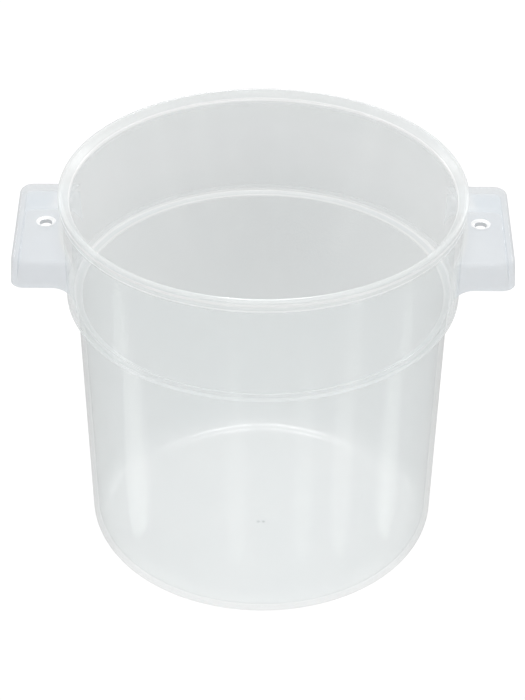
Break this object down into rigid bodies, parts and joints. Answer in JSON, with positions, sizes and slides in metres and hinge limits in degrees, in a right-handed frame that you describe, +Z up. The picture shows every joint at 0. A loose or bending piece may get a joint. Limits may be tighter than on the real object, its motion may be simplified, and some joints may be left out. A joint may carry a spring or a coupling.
{
  "type": "dough proofing container",
  "caption": "Round open-top container in translucent polypropylene, with a stepped wall, a rolled rim bead and drilled tray-shaped ears.",
  "frame": {"origin": "centre of the circle that the container stands on, on the supporting surface", "axes": "+Z up along the container's axis; +X through the right ear's hole; -Y is the front seen in the picture"},
  "size_m": [0.2924, 0.24, 0.24],
  "materials": {
    "natural_polypropylene": "natural polypropylene, translucent and milky, smooth and semi-glossy outside and inside"
  },
  "bodies": {
    "root": {"rim_bead": "natural_polypropylene", "collar_wall": "natural_polypropylene", "shoulder_ring": "natural_polypropylene", "body_wall": "natural_polypropylene", "heel_ring": "natural_polypropylene", "floor_panel": "natural_polypropylene", "left_ear": "natural_polypropylene", "right_ear": "natural_polypropylene"}
  },
  "joints": []
}
